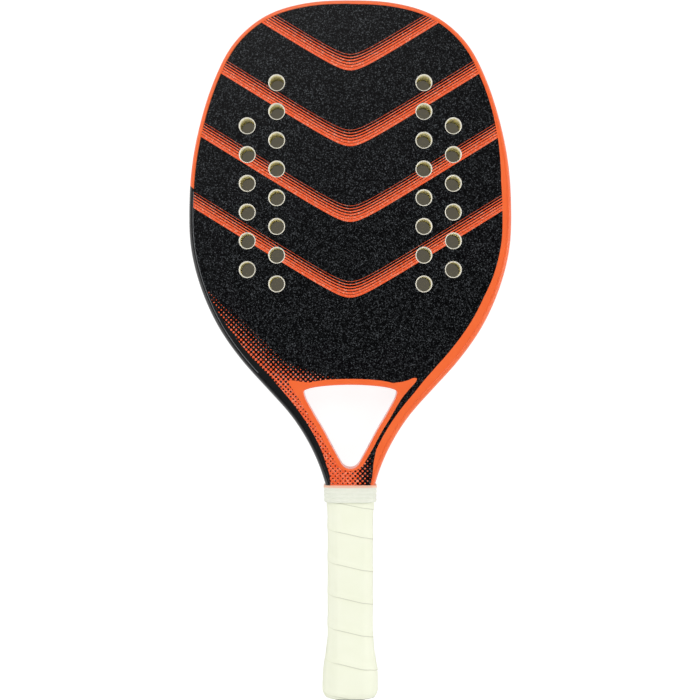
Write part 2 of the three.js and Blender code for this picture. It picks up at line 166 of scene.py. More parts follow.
# Frame tube. Hoop, arms and legs are one carbon and glass tube, laid up over a bladder and
# moulded, with a raised bead along the rim. It is lacquered black, and orange round the head
# and down the right side, and then polished.
racket_length = 500
head_width = 230.6
blade_thickness = 22
handle_length = 151.5
middle_plane = 19
widest = 350
leg_bottom = 2.5
leg_top = 120
leg_gap = 0.6
leg_points = 4
tube_width = 13.6
tube_wall = 1.6
rim_width = 3.4
rim_depth = 5
rim_steps = 8
skin_thickness = 1.2
bond_gap = 0.15
half_tube = tube_width / 2
half_blade = blade_thickness / 2
land = half_blade - skin_thickness - bond_gap
bead_foot = half_tube - rim_width
# The bead's inner edge: how far it lies outward of its foot, and below the blade's face
bead_edge = ((0, 0.35), (0.45, 0.08), (0.8, 0))
station_count = 420
bend_steps = 24
tube_softening = 6
sharp_edge = math.radians(32)


def through(points, steps):
    """A smooth line through points, with even sharing of its bends (centripetal Catmull-Rom)."""
    ends = [2 * points[0] - points[1], *points, 2 * points[-1] - points[-2]]
    line = []
    for before, start, end, after in zip(ends, ends[1:], ends[2:], ends[3:]):
        a, b, c = (math.sqrt((q - p).length) for p, q in ((before, start), (start, end), (end, after)))
        leave = ((start - before) / a - (end - before) / (a + b) + (end - start) / b) * b
        arrive = ((end - start) / b - (after - start) / (b + c) + (after - end) / c) * b
        for i in range(steps):
            t = i / steps
            line.append(
                (2 * t ** 3 - 3 * t ** 2 + 1) * start + (t ** 3 - 2 * t ** 2 + t) * leave
                + (3 * t ** 2 - 2 * t ** 3) * end + (t ** 3 - t ** 2) * arrive
            )
    return [*line, points[-1]]


def evenly(line, count, closed=False):
    """The same line with its points at even distances."""
    line = [*line, line[0]] if closed else line
    reached = np.concatenate([[0], np.cumsum([(q - p).length for p, q in zip(line, line[1:])])])
    places = np.linspace(0, reached[-1], count + 1)
    table = np.array(line)
    columns = [np.interp(places, reached, table[:, i]) for i in range(table.shape[1])]
    even = [Vector(place) for place in zip(*columns)]
    return even[:-1] if closed else even


def softened(line, passes, closed=False):
    """The line with its corners rounded by averaging neighbours."""
    for _ in range(passes):
        around = [line[-1], *line, line[0]] if closed else [line[0], *line, line[-1]]
        blurred = [(p + 2 * q + r) / 4 for p, q, r in zip(around, around[1:], around[2:])]
        line = blurred if closed else [line[0], *blurred[1:-1], line[-1]]
    return line


throat_shares = (
    (0, 0), (0.001, 0.04), (0.005, 0.085), (0.031, 0.138), (0.081, 0.209), (0.165, 0.29), (0.292, 0.377),
    (0.461, 0.461), (0.645, 0.551), (0.805, 0.652), (0.923, 0.768), (0.989, 0.884),
)
hoop_shares = (
    (1, 0), (0.983, 0.217), (0.928, 0.428), (0.839, 0.635), (0.718, 0.807), (0.526, 0.93),
    (0.281, 0.987), (0, 1),
)
leg_offset = half_tube + leg_gap / 2
head_reach = head_width / 2 - half_tube
arm_reach = head_reach - leg_offset
hoop_height = racket_length - half_tube - widest
right_half = [
    Vector((leg_offset, leg_bottom + (leg_top - leg_bottom) * i / leg_points)) for i in range(leg_points)
]
right_half += [
    Vector((leg_offset + x * arm_reach, leg_top + y * (widest - leg_top))) for x, y in throat_shares
]
right_half += [Vector((x * head_reach, widest + y * hoop_height)) for x, y in hoop_shares]
left_half = [Vector((-p.x, p.y)) for p in right_half[:-1]]
bent_line = through(left_half + right_half[::-1], bend_steps)
centreline = softened(evenly(bent_line, station_count), tube_softening)


def rail(distance):
    """The line beside the centreline, that far outward."""
    line = []
    for i, place in enumerate(centreline):
        run = centreline[min(i + 1, station_count)] - centreline[max(i - 1, 0)]
        line.append(place + Vector((-run.y, run.x)).normalized() * distance)
    return line


def placed(point, z):
    """A point of the face's plane, lifted over the blade's middle, in the racket's frame."""
    return Vector((point.x, point.y - racket_length / 2, middle_plane + z))


def make_piece(name, points, faces, finishes, node, picks=None):
    """One closed piece from its corners in millimetres, in the place of its CAD node."""
    mesh = bpy.data.meshes.new(name)
    mesh.from_pydata([Vector(p) * mm for p in points], [], faces)
    for finish in finishes:
        mesh.materials.append(finish)
    if picks:
        mesh.polygons.foreach_set("material_index", picks)
    shell = bmesh.new()
    shell.from_mesh(mesh)
    bmesh.ops.recalc_face_normals(shell, faces=shell.faces)
    shell.to_mesh(mesh)
    shell.free()
    mesh.shade_smooth()
    mesh.set_sharp_from_angle(angle=sharp_edge)
    piece = bpy.data.objects.new(name, mesh)
    bpy.context.scene.collection.objects.link(piece)
    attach(piece, "root")
    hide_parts(node)


def start_finish(name, constants):
    """A new material with its shader's constants, and its tree, its shader and the object's place."""
    finish = bpy.data.materials.new(name)
    finish.use_nodes = True
    tree = finish.node_tree
    shader = tree.nodes["Principled BSDF"]
    for socket, value in constants.items():
        shader.inputs[socket].default_value = value
    return finish, tree, shader, add(tree, "TexCoord", output="Object")


# Polyurethane lacquer, sprayed over the laminate and polished: a smooth clear gloss that
# shows only a faint orange peel, about 2 mm across, over pigment that lies a little unevenly.
def lacquer(name, thick, thin):
    finish, tree, shader, place = start_finish(name, {
        "Roughness": 0.3, "IOR": 1.4, "Coat Weight": 0.2, "Coat IOR": 1.4, "Coat Roughness": 0.12,
    })
    cloud = add(tree, "TexNoise", {"Vector": place, "Scale": 1 / (9 * mm), "Detail": 2.0})
    tint = add(tree, "Mix", {0: cloud, 6: linear(thick), 7: linear(thin)}, data_type="RGBA")
    tree.links.new(tint, shader.inputs["Base Color"])
    peel = add(tree, "TexNoise", {"Vector": place, "Scale": 1 / (2 * mm), "Detail": 1.0})
    bump = add(tree, "Bump", {"Strength": 0.12, "Distance": 0.05 * mm, "Height": peel})
    tree.links.new(bump, shader.inputs["Normal"])
    return finish


orange = ("#F0642F", "#F7723C")
black = ("#0B0C0D", "#151718")
orange_lacquer = lacquer("orange_lacquer", *orange)
rim_lacquer = lacquer("two_tone_lacquer", *orange)
tree = rim_lacquer.node_tree
shader = tree.nodes["Principled BSDF"]
place = add(tree, "TexCoord", output="Object")
x = add(tree, "SeparateXYZ", {0: place}, "X")
y = add(tree, "SeparateXYZ", {0: place}, "Y")
# Orange right of the middle, and left of it above a slanted break beside the head
break_height = 18.6 * mm
break_slope = 0.86
slant = add(tree, "Math", {0: x, 1: break_slope, 2: y}, operation="MULTIPLY_ADD")
above = add(tree, "Math", {0: slant, 1: break_height}, operation="GREATER_THAN")
right = add(tree, "Math", {0: x, 1: 0.0}, operation="GREATER_THAN")
painted = add(tree, "Math", {0: above, 1: right}, operation="MAXIMUM")
under_coat = shader.inputs["Base Color"].links[0].from_socket
two_tone = add(tree, "Mix", {0: painted, 6: linear(black[0]), 7: under_coat}, data_type="RGBA")
tree.links.new(two_tone, shader.inputs["Base Color"])
# Along the head's left side the bead's inner edge is painted grey, a thin painted highlight line down the
# black
highlight_line_lacquer = lacquer("highlight_line_lacquer", "#6E7072", "#838587")
highlight_from = 235
highlight_to = 362

upper = [Vector((-half_tube, land)), Vector((bead_foot, land))]
upper += [Vector((bead_foot + out, half_blade - down)) for out, down in bead_edge]
crest = upper[-1].x
for i in range(1, rim_steps + 1):
    turn = math.radians(90 - 90 * i / rim_steps)
    upper.append(Vector((
        crest + (half_tube - crest) * math.cos(turn), half_blade - rim_depth * (1 - math.sin(turn)),
    )))
# The tube's section, from the middle of the head outward over the front and back, and its bore
section = upper + [Vector((p.x, -p.y)) for p in reversed(upper)]
bore = [Vector((p.x * (1 - tube_wall / half_tube), p.y * (1 - tube_wall / land))) for p in section]
around = len(section)
inner_side = around - 1
bead_edges = (2, around - 4)
points, faces, picks = [], [], []
for profile in (section, bore):
    for rails in zip(*[rail(p.x) for p in profile]):
        points += [placed(q, p.y) for p, q in zip(profile, rails)]
bore_start = (station_count + 1) * around
for start in (0, bore_start):
    for i in range(station_count):
        on_left = start == 0 and i < station_count / 2
        # Between these heights on the left, the bead's inner edge takes the painted highlight line
        highlighted = on_left and highlight_from < centreline[i].y < highlight_to
        for j in range(around):
            a, b = start + i * around + j, start + i * around + (j + 1) % around
            faces.append((a, b, b + around, a + around))
            picks.append(2 if highlighted and j in bead_edges else 1 if j == inner_side else 0)
for end in (0, station_count * around):
    for j in range(around):
        a, b = end + j, end + (j + 1) % around
        faces.append((a, b, b + bore_start, a + bore_start))
        picks.append(0)
finishes = [rim_lacquer, orange_lacquer, highlight_line_lacquer]
make_piece("frame_shell", points, faces, finishes, "frame_tube", picks)

# Bridge and crotch filler. The bridge is a short tube across the throat and the filler a
# moulded plug between the legs; both are laminated over with the arms and sprayed orange,
# so that the opening has one smooth lacquered wall.
crotch_height = 13.3
opening_height = 60
opening_bottom = handle_length + crotch_height
opening_top = opening_bottom + opening_height
bridge_depth = 10
arch_reach = 40
arch_drop = 4
arch_end_drop = 6
arch_end_power = 8
crotch_radius = 7.3
flank_lean = 0.51
filler_tail = 23
fillet_reach = 35
fillet_lean = 0.28
crotch_steps = 30
top_steps = 60
arch_steps = 40
opening_count = 360
opening_softening = 9


def arch(x, height):
    """Height of an arched line over the throat, where it crosses x."""
    share = x / arch_reach
    return height - arch_drop * share ** 2 - arch_end_drop * share ** arch_end_power


def within(line, test):
    """The right half of a line beside the frame, from the head down, where a test holds."""
    return [p for p in line[station_count // 2:] if test(p)]


def mirrored(line):
    """The line on the other side of the middle, run the other way."""
    return [Vector((-p.x, p.y)) for p in reversed(line)]


inner_wall = rail(-half_tube)
bonded_wall = rail(-half_tube - bond_gap)
crotch_centre = Vector((0, opening_bottom + crotch_radius))
hollow = [
    crotch_centre + crotch_radius * Vector((math.cos(turn), math.sin(turn)))
    for turn in np.linspace(-flank_lean, flank_lean - math.pi, crotch_steps)
]
meet = hollow[0]


def opening_reach(wall):
    """Half the opening's width at a point of the arm's wall: flanked below, filleted at its top."""
    flanked = meet.x + (wall.y - meet.y) * math.tan(flank_lean)
    filleted = fillet_reach - fillet_lean * (opening_top - wall.y)
    return min(wall.x, flanked, filleted)


side = [
    Vector((opening_reach(p), p.y)) for p in within(inner_wall, lambda p: meet.y < p.y < opening_top)
]
side = [p for p in side if p.y < arch(p.x, opening_top)]
corner_x = side[0].x
top_edge = [
    Vector((x, arch(x, opening_top))) for x in np.linspace(-corner_x, corner_x, top_steps)
]
raw_opening = evenly(top_edge + side + hollow + mirrored(side), opening_count, closed=True)
opening = softened(raw_opening, opening_softening, closed=True)


def offset_loop(loop, distance):
    """A closed loop moved outward; the loop runs clockwise."""
    count = len(loop)
    moved = []
    for i, place in enumerate(loop):
        run = loop[(i + 1) % count] - loop[i - 1]
        reach = distance(place) if callable(distance) else distance
        moved.append(place + Vector((-run.y, run.x)).normalized() * reach)
    return moved


def inside(centres, loop):
    """Which of many points lie in a closed loop."""
    hits = np.zeros(len(centres), dtype=bool)
    for p, q in zip(loop, [*loop[1:], loop[0]]):
        if p.y != q.y:
            spans = (centres[:, 1] > min(p.y, q.y)) & (centres[:, 1] <= max(p.y, q.y))
            crossing = p.x + (centres[:, 1] - p.y) * (q.x - p.x) / (q.y - p.y)
            hits ^= spans & (centres[:, 0] < crossing)
    return hits


def fill(loops, lines=()):
    """Triangles between an outer loop and the loops inside it; lines are kept as edges."""
    places, edges = [], []
    for loop in loops:
        start = len(places)
        places += loop
        edges += [(start + i, start + (i + 1) % len(loop)) for i in range(len(loop))]
    for line in lines:
        start = len(places)
        places += line
        edges += [(start + i, start + i + 1) for i in range(len(line) - 1)]
    found, _, triangles, sources, _, _ = delaunay_2d_cdt(places, edges, [], 0, 1e-6)
    centres = np.array([sum((found[i] for i in t), Vector((0, 0))) / 3 for t in triangles])
    kept = inside(centres, loops[0])
    for loop in loops[1:]:
        kept &= ~inside(centres, loop)
    return found, [t for t, keep in zip(triangles, kept) if keep], centres[kept], sources


def plate(profiles, lines=(), pick=None):
    """A plate cut to several outlines, each a list of (loop, height) from its top to its bottom."""
    points, faces, picks = [], [], []
    for cap in (0, -1):
        outlines = [profile[cap][0] for profile in profiles]
        found, triangles, centres, sources = fill(outlines, lines if cap == 0 else ())
        start = len(points)
        points += [placed(p, profiles[0][cap][1]) for p in found]
        faces += [tuple(start + i for i in t) for t in triangles]
        picks += pick(centres) if pick and cap == 0 else [0] * len(triangles)
        if cap == 0:
            tops = sources
        else:
            bottoms, bottom_start = sources, start
    top_of = {source: i for i, group in enumerate(tops) for source in group}
    bottom_of = {source: bottom_start + i for i, group in enumerate(bottoms) for source in group}
    reached = 0
    for number, profile in enumerate(profiles):
        count = len(profile[0][0])
        rows = [[top_of[reached + i] for i in range(count)]]
        for loop, height in profile[1:-1]:
            rows.append(list(range(len(points), len(points) + count)))
            points += [placed(p, height) for p in loop]
        rows.append([bottom_of[reached + i] for i in range(count)])
        loop = profile[0][0]
        # The outer edge goes on with the print, the opening's wall has the first other finish and
        # the holes' walls the second
        if number == 0 and pick:
            finishes = pick(np.array([(p + q) / 2 for p, q in zip(loop, [*loop[1:], loop[0]])]))
        else:
            finishes = [min(number, 2)] * count
        for above, below in zip(rows, rows[1:]):
            for i in range(count):
                k = (i + 1) % count
                faces.append((above[i], above[k], below[k], below[i]))
            picks += finishes
        reached += count
    return points, faces, picks


arm_wall = within(inner_wall, lambda p: p.y < widest)
wall_heights, wall_places = zip(*sorted((p.y, p.x) for p in arm_wall))


def stands_clear(p):
    """Whether a point of the opening's edge stands clear of the arms' own wall."""
    return np.interp(p.y, wall_heights, wall_places) - abs(p.x) > bond_gap


def started_at(loop, first):
    """The same closed loop, listed from one of its points."""
    start = loop.index(first)
    return loop[start:] + loop[:start]


throat_middle = opening_bottom + opening_height / 2
upward_loop = started_at(opening, min(opening, key=lambda p: p.y))
edge = [p for p in upward_loop if p.y > throat_middle and stands_clear(p)]
bridge_top = opening_top + bridge_depth
side_arc = within(bonded_wall, lambda p: edge[-1].y < p.y < arch(p.x, bridge_top))
crown_end = side_arc[0].x
crown = [Vector((x, arch(x, bridge_top))) for x in np.linspace(crown_end, -crown_end, arch_steps)]
rising = side_arc[::-1]
bridge_loop = edge + rising + crown[1:-1] + mirrored(rising)
points, faces, _ = plate([[(bridge_loop, land), (bridge_loop, -land)]])
make_piece("bridge_shell", points, faces, [orange_lacquer], "throat_bridge")

downward_loop = started_at(opening, max(opening, key=lambda p: p.y))
lip = [p for p in downward_loop if p.y < throat_middle and stands_clear(p)]
tail_bottom = opening_bottom - filler_tail
flank = within(bonded_wall, lambda p: tail_bottom < p.y < lip[0].y)
foot = flank[-1].x
filler_loop = lip + [Vector((-p.x, p.y)) for p in flank]
filler_loop += [Vector((-foot, tail_bottom)), Vector((foot, tail_bottom))] + flank[::-1]
points, faces, _ = plate([[(filler_loop, land), (filler_loop, -land)]])
make_piece("filler_shell", points, faces, [orange_lacquer], "throat_filler")

# Core. One slab of closed-cell EVA foam fills the head; the holes are drilled through it,
# and their walls show the cut foam.
hole_diameter = 10.6
hole_pitch = 20.5
hole_sides = 48
hole_margin = 41.8
top_hole_drop = 59.7
column_spacing = 21
inner_count = 8
outer_count = 6
stagger_share = 1.5
outer_column = head_width / 2 - hole_margin
inner_column = outer_column - column_spacing
inner_top = racket_length - top_hole_drop
outer_top = inner_top - stagger_share * hole_pitch
centres = []
for x, top, count in ((inner_column, inner_top, inner_count), (outer_column, outer_top, outer_count)):
    centres += [Vector((s * x, top - i * hole_pitch)) for s in (-1, 1) for i in range(count)]


def circle(centre, radius):
    """A hole's outline."""
    turns = [2 * math.pi * i / hole_sides for i in range(hole_sides)]
    return [centre + radius * Vector((math.cos(t), math.sin(t))) for t in turns]


# EVA foam, cut: dull and a little translucent, with closed cells about 0.6 mm across that the
# drill has torn open
foam, tree, shader, place = start_finish("eva_foam", {
    "Roughness": 0.9, "Specular IOR Level": 0.2, "Subsurface Weight": 0.4,
    "Subsurface Radius": (1.0, 0.9, 0.6), "Subsurface Scale": 4 * mm,
})
cells = add(tree, "TexVoronoi", {"Vector": place, "Scale": 1 / (0.6 * mm)})
tint = add(tree, "Mix", {0: cells, 6: linear("#FCF5CC"), 7: linear("#ECE5BE")}, data_type="RGBA")
tree.links.new(tint, shader.inputs["Base Color"])
bump = add(tree, "Bump", {"Strength": 0.5, "Distance": 0.15 * mm, "Height": cells})
tree.links.new(bump, shader.inputs["Normal"])

core_bottom = bridge_top + bond_gap
room_wall = within(bonded_wall, lambda p: p.y > arch(p.x, core_bottom))
base_end = room_wall[-1].x
base = [Vector((x, arch(x, core_bottom))) for x in np.linspace(base_end, -base_end, arch_steps)]
core_loop = room_wall + base[1:-1] + mirrored(room_wall[1:])
holes = [[(circle(c, hole_diameter / 2), z) for z in (land, -land)] for c in centres]
points, faces, _ = plate([[(core_loop, land), (core_loop, -land)], *holes])
make_piece("drilled_core", points, faces, [foam], "foam_core")

# Skins. Each face is a laminate of glass and carbon cloth, bonded to the core and the frame.
# The hitting face is printed and then sanded with a fine grit; the border stays smooth.
edge_round = 0.15
lip_round = 0.9
lip_steps = 4
hole_ring = 0.7
groove = 0.02
seat_gap = 0.3
skin_bottom = handle_length + seat_gap
skin_reach = bead_foot - groove
# How wide each smooth band is at its heights: down the right side, up the left side to where the
# black ends, and round the throat's opening
orange_band = (
    (158, 0.05), (163, 1.0), (168, 2.6), (177, 4.6), (185, 4.6), (205, 4.5), (215, 4.7), (224, 5.6),
    (235, 6.0), (250, 5.8), (285, 5.1), (300, 3.9), (328, 3.2), (371, 3.5), (400, 1.4), (420, 0.4),
    (500, 0.2),
)
black_band = (
    (155, 0.4), (160, 1.6), (168, 1.8), (177, 2.6), (205, 3.1), (228, 4.3), (262, 2.9), (296, 0.1),
)
black_top = 295
opening_border = ((165, 1.6), (170, 3.0), (186, 3.2), (217, 3.5), (224, 4.3))
# Where the border runs out in a point at each upper corner of the opening
corner_lobe = (
    (27, 225.4), (31, 226.2), (36.3, 226.9), (41, 228.1), (45.6, 229.8), (47.4, 229.3), (46.8, 227.2),
    (43, 222.8), (39.4, 218.6), (36.6, 215), (33.5, 210),
)
corner_flare = (
    (-26, 225.8), (-31, 226.6), (-36.5, 227.2), (-41.5, 228), (-44, 227.4), (-43, 224.5), (-39.6, 219.5),
    (-36.6, 214.5), (-33.5, 209.5),
)
band_foot = 0.6
point_steps = 6
chevron_pitch = 54.0
chevron_slope = 0.62
chevron_blunting = 9.0
first_chevron = 31.5
ruling_pitch = 2.25
ruled_share = 0.24
screen_pitch = 2.5
# The dots thin out from a slanted line outside the head's left edge, more so further up
thinning_slope = 0.68
thinning_start = 74.4
thinning_per_mm = 0.022
thinning_heights = (-34.0, -8.0)
# The tone that the dots start from, down on the arm and up where they have ended
tone_heights = (-40.0, 52.0)
tone_shares = (0.2, 1.01)
black_reaches = (-5.0, 24.0)


def printed_laminate(name):
    """The sanded face: black ink, with orange chevrons that thin out in lines, and dots."""
    finish, tree, shader, place = start_finish(name, {"Roughness": 0.33, "Specular IOR Level": 0.09})
    scaled = add(tree, "VectorMath", {0: place, 1: (1 / mm, 1 / mm, 1 / mm)}, operation="MULTIPLY")
    x = add(tree, "SeparateXYZ", {0: scaled}, "X")
    y = add(tree, "SeparateXYZ", {0: scaled}, "Y")

    # Chevrons: y less the height of a blunt V, repeated up the face, and each one ruled in lines
    # that grow thinner until they end
    squared = add(tree, "Math", {0: x, 1: x, 2: chevron_blunting ** 2}, operation="MULTIPLY_ADD")
    bent = add(tree, "Math", {0: squared}, operation="SQRT")
    rise = add(tree, "Math", {0: bent, 1: -chevron_slope, 2: y}, operation="MULTIPLY_ADD")
    from_first = add(tree, "Math", {0: rise, 1: first_chevron}, operation="SUBTRACT")
    repeat = add(tree, "Math", {0: from_first, 1: chevron_pitch}, operation="DIVIDE")
    share = add(tree, "Math", {0: repeat}, operation="FRACT")
    line_width = add(tree, "MapRange", {0: share, 1: 0.0, 2: ruled_share, 3: 1.0, 4: 0.0})
    ruled = add(tree, "Math", {0: from_first, 1: ruling_pitch}, operation="DIVIDE")
    line = add(tree, "Math", {0: ruled}, operation="FRACT")
    drawn = add(tree, "Math", {0: line, 1: line_width}, operation="LESS_THAN")
    started = add(tree, "Math", {0: from_first, 1: 0.0}, operation="GREATER_THAN")
    chevron = add(tree, "Math", {0: drawn, 1: started}, operation="MULTIPLY")

    # Halftone, a diagonal screen: it covers the left arm, thins out up the head's left edge, and
    # turns to black towards the right arm
    wave = 2 * math.pi / (screen_pitch * math.sqrt(2))
    wave_x = add(tree, "Math", {0: x, 1: wave}, operation="MULTIPLY")
    wave_y = add(tree, "Math", {0: y, 1: wave}, operation="MULTIPLY")
    across = add(tree, "Math", {0: wave_x}, operation="COSINE")
    upward = add(tree, "Math", {0: wave_y}, operation="COSINE")
    crossed = add(tree, "Math", {0: across, 1: upward}, operation="MULTIPLY")
    screen = add(tree, "Math", {0: crossed, 1: 0.5, 2: 0.5}, operation="MULTIPLY_ADD")
    slanted = {0: y, 1: thinning_slope, 2: thinning_start}
    edge_line = add(tree, "Math", slanted, operation="MULTIPLY_ADD")
    from_edge = add(tree, "Math", {0: x, 1: edge_line}, operation="ADD")
    low, high = thinning_heights
    thinning = add(tree, "MapRange", {0: y, 1: low, 2: high, 3: 0.0, 4: thinning_per_mm})
    (low, high), (dense, sparse) = tone_heights, tone_shares
    first_tone = add(tree, "MapRange", {0: y, 1: low, 2: high, 3: dense, 4: sparse})
    left_tone = add(tree, "Math", {0: from_edge, 1: thinning, 2: first_tone}, operation="MULTIPLY_ADD")
    low, high = black_reaches
    to_right = add(tree, "MapRange", {0: x, 1: low, 2: high}, interpolation_type="SMOOTHSTEP")
    tone = add(tree, "Math", {0: left_tone, 1: to_right}, operation="ADD")
    dotted = add(tree, "Math", {0: screen, 1: tone}, operation="GREATER_THAN")
    ink = add(tree, "Math", {0: chevron, 1: dotted}, operation="MAXIMUM")

    # Grit: grains of about 0.6 mm, from black to the few that are pale, and shallow dents; the pale
    # grains are partly the grit's own colour and partly painted glints
    grains = add(tree, "TexVoronoi", {"Vector": place, "Scale": 1 / (0.6 * mm)}, "Color")
    chance = add(tree, "SeparateXYZ", {0: grains}, "X")
    grain_and_glint = add(tree, "Math", {0: chance, 1: 7.0}, operation="POWER")
    dents = add(tree, "TexNoise", {"Vector": place, "Scale": 1 / (0.9 * mm), "Detail": 1.0})
    # The pale end of each mix paints the grit's glints as well as its pale grains
    dark = add(tree, "Mix", {0: grain_and_glint, 6: linear("#010102"), 7: linear("#4A4D50")}, data_type="RGBA")
    bright = add(tree, "Mix", {0: grain_and_glint, 6: linear("#EA5B31"), 7: linear("#F9A486")}, data_type="RGBA")
    tint = add(tree, "Mix", {0: ink, 6: dark, 7: bright}, data_type="RGBA")
    tree.links.new(tint, shader.inputs["Base Color"])
    bump = add(tree, "Bump", {"Strength": 0.4, "Distance": 0.15 * mm, "Height": dents})
    tree.links.new(bump, shader.inputs["Normal"])
    return finish


sanded_face = printed_laminate("sanded_laminate")
black_lacquer = lacquer("black_lacquer", *black)
# Bare glass laminate where the countersink has cut through the print: pale, dull, uncoated
bare_laminate = lacquer("cut_laminate", "#F0EDE4", "#E2DED0")
shader = bare_laminate.node_tree.nodes["Principled BSDF"]
shader.inputs["Coat Weight"].default_value = 0.0
shader.inputs["Roughness"].default_value = 0.6

skin_rail = within(rail(skin_reach), lambda p: p.y > skin_bottom)
skin_foot = skin_rail[-1].x
skin_loop = skin_rail + [Vector((skin_foot, skin_bottom)), Vector((-skin_foot, skin_bottom))]
skin_loop += mirrored(skin_rail[1:])


def table_value(table):
    """A function that reads a table of heights and widths at a point's height."""
    heights, values = zip(*table)
    return lambda p: float(np.interp(p.y, heights, values))


def band_line(table, low, high):
    """A line on the skin that keeps a table's distance from its border, on the right side."""
    reach = table_value(table)
    line = []
    for place, border in list(zip(rail(skin_reach - 1), rail(skin_reach)))[station_count // 2:]:
        if low < border.y < high:
            line.append(border + (place - border).normalized() * reach(border))
    return line


right_line = band_line(orange_band, skin_bottom + band_foot, racket_length)
left_line = [Vector((-p.x, p.y)) for p in band_line(black_band, skin_bottom + band_foot, black_top)]
border_line = offset_loop(opening, table_value(opening_border))
lobe_line = through([Vector(p) for p in corner_lobe], point_steps)
flare_line = through([Vector(p) for p in corner_flare], point_steps)
far_out = head_width
far_up = 3 * head_width
right_area = right_line + [Vector((far_out, skin_bottom)), Vector((far_out, far_up)), Vector((0, far_up))]
left_area = left_line + [Vector((-far_out, skin_bottom)), Vector((-far_out, black_top))]


def inked(centres):
    """Which finish each triangle of the printed side gets."""
    smooth_orange = inside(centres, border_line) | inside(centres, right_area)
    smooth_orange |= inside(centres, lobe_line) | inside(centres, flare_line)
    smooth_black = inside(centres, left_area)
    return np.where(smooth_orange, 1, np.where(smooth_black, 3, 0)).tolist()


skin_back = half_blade - skin_thickness
inset = offset_loop(skin_loop, -edge_round)
outer = [(inset, half_blade), (skin_loop, half_blade - edge_round), (skin_loop, skin_back)]
lips = []
for i in range(lip_steps + 1):
    turn = math.radians(90 - 90 * i / lip_steps)
    outward = lip_round * (1 - math.cos(turn))
    lips.append((offset_loop(opening, outward), half_blade - lip_round * (1 - math.sin(turn))))
lips.append((opening, skin_back))
rings = []
for centre in centres:
    mouth = circle(centre, hole_diameter / 2 + hole_ring)
    rings.append([(mouth, half_blade), (circle(centre, hole_diameter / 2), skin_back)])
drawn_lines = [right_line, left_line]
drawn_lines += [[*line, line[0]] for line in (border_line, lobe_line, flare_line)]
points, faces, picks = plate([outer, lips, *rings], drawn_lines, inked)
finishes = [sanded_face, orange_lacquer, bare_laminate, black_lacquer]
for name, node, flip in (("front_face", "front_skin", 1), ("back_face", "back_skin", -1)):
    turned = [Vector((p.x, p.y, middle_plane + flip * (p.z - middle_plane))) for p in points]
    make_piece(name, turned, faces, finishes, node, picks)

# Pallets and staples. Two half shells of moulded polyurethane foam are glued over the legs and
# give the handle its rounded octagon; a steel staple on each side holds the cap to them.

# Moulded polyurethane foam: a dull skin with pores up to 1.5 mm
pallet_foam, tree, shader, place = start_finish("moulded_polyurethane", {"Roughness": 0.85})
pores = add(tree, "TexNoise", {"Vector": place, "Scale": 1 / (1.5 * mm), "Detail": 3.0})
tint = add(tree, "Mix", {0: pores, 6: linear("#B9AE8C"), 7: linear("#D5CCAE")}, data_type="RGBA")
tree.links.new(tint, shader.inputs["Base Color"])
bump = add(tree, "Bump", {"Strength": 0.4, "Distance": 0.2 * mm, "Height": pores})
tree.links.new(bump, shader.inputs["Normal"])
# Galvanised steel wire: grey metal, with a zinc spangle drawn at 0.4 mm that dulls it in spots
steel, tree, shader, place = start_finish(
    "galvanised_wire", {"Base Color": linear("#B4B8BB"), "Metallic": 1.0},
)
spangle = add(tree, "TexNoise", {"Vector": place, "Scale": 1 / (0.4 * mm), "Detail": 2.0})
dull = add(tree, "MapRange", {0: spangle, 3: 0.3, 4: 0.5})
tree.links.new(dull, shader.inputs["Roughness"])
for side_name in ("front", "back"):
    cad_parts["pallet_" + side_name].material_slots[0].material = pallet_foam
    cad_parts["staple_" + side_name].material_slots[0].material = steel

# Butt cap. A soft cup of moulded rubber, stapled over the pallets' end; it flares to stop the
# hand, and its edge is tucked in towards the flat end.
shaft_half = 13.2
pallet_ramp = 12
pallet_end = 11.85
corner_radius = 3
corner_steps = 5
cap_length = 39
cap_wall = 0.8
cap_floor = 2.2
cap_flare = 2.8
cap_ramp = 5
cap_lip = 0.4
cap_rows = 24
shoulder_height = 15.5
tuck_height = 7.5
tuck_depth = 7
tuck_rows = 12
handle_sides = 96
row_step = 0.5
measured_height = 160


def shaft_thickness(height):
    """Half the bare shaft's thickness, over the pallets and then over the skins above them."""
    if height > handle_length:
        return half_blade
    ramp = (handle_length - pallet_ramp, handle_length)
    return float(np.interp(height, ramp, (shaft_half, pallet_end)))


def cap_reach(height):
    """How far the cap stands out from the shaft."""
    if height < tuck_height:
        rise = 1 - height / tuck_height
        return cap_wall + cap_flare - tuck_depth * (1 - math.sqrt(1 - rise * rise))
    down = min(max((cap_length - height) / (cap_length - shoulder_height), 0), 1)
    return cap_wall + cap_flare * down * down * (3 - 2 * down)


def wrapped_reach(height):
    """How far the ground under the wraps stands out: the cap, ramped down to the shaft above it."""
    over_cap = float(np.interp(height, (cap_length, cap_length + cap_ramp), (cap_wall, 0)))
    return cap_reach(height) if height < cap_length else over_cap


legs = sorted((p for p in rail(half_tube) if p.x > 0 and p.y < widest / 2), key=lambda p: p.y)
leg_heights = [p.y for p in legs]
leg_places = [p.x for p in legs]


